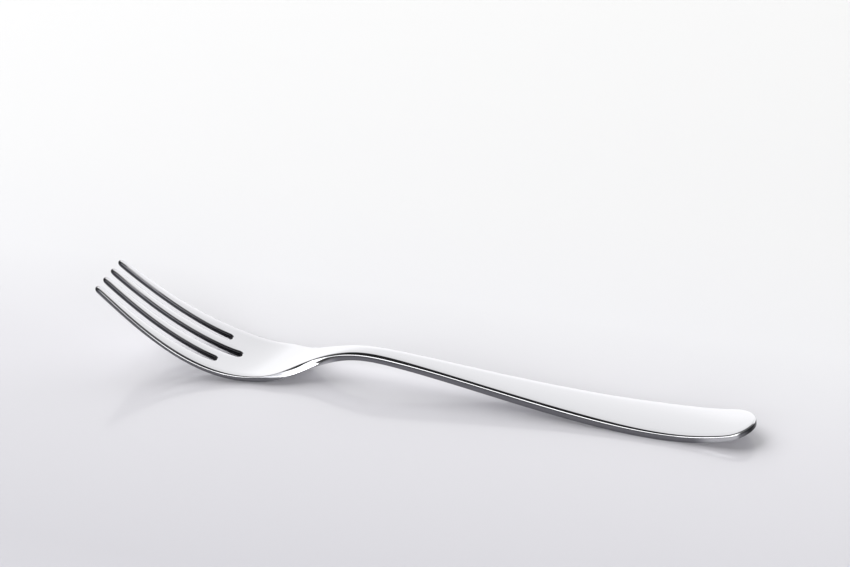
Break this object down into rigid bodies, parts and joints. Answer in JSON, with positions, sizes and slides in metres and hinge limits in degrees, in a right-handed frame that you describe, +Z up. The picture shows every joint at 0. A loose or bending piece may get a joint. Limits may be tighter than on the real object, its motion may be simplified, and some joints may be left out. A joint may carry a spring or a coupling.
{
  "type": "fish fork",
  "caption": "Table fork with a broad shallow bowl, upswept tines, slim arched neck and flat widening handle, polished from one strip of stainless steel, for eating fish.",
  "frame": {"origin": "centre of the fork's box seen from above, on the table that the fork lies on", "axes": "+X along the fork from the tine tips to the handle end, +Y across it, +Z up out of the bowl's hollow side"},
  "size_m": [0.1908, 0.0252, 0.0232],
  "materials": {
    "polished_stainless_steel": "mirror polished"
  },
  "bodies": {
    "root": {"fork_body": "polished_stainless_steel"}
  },
  "joints": []
}
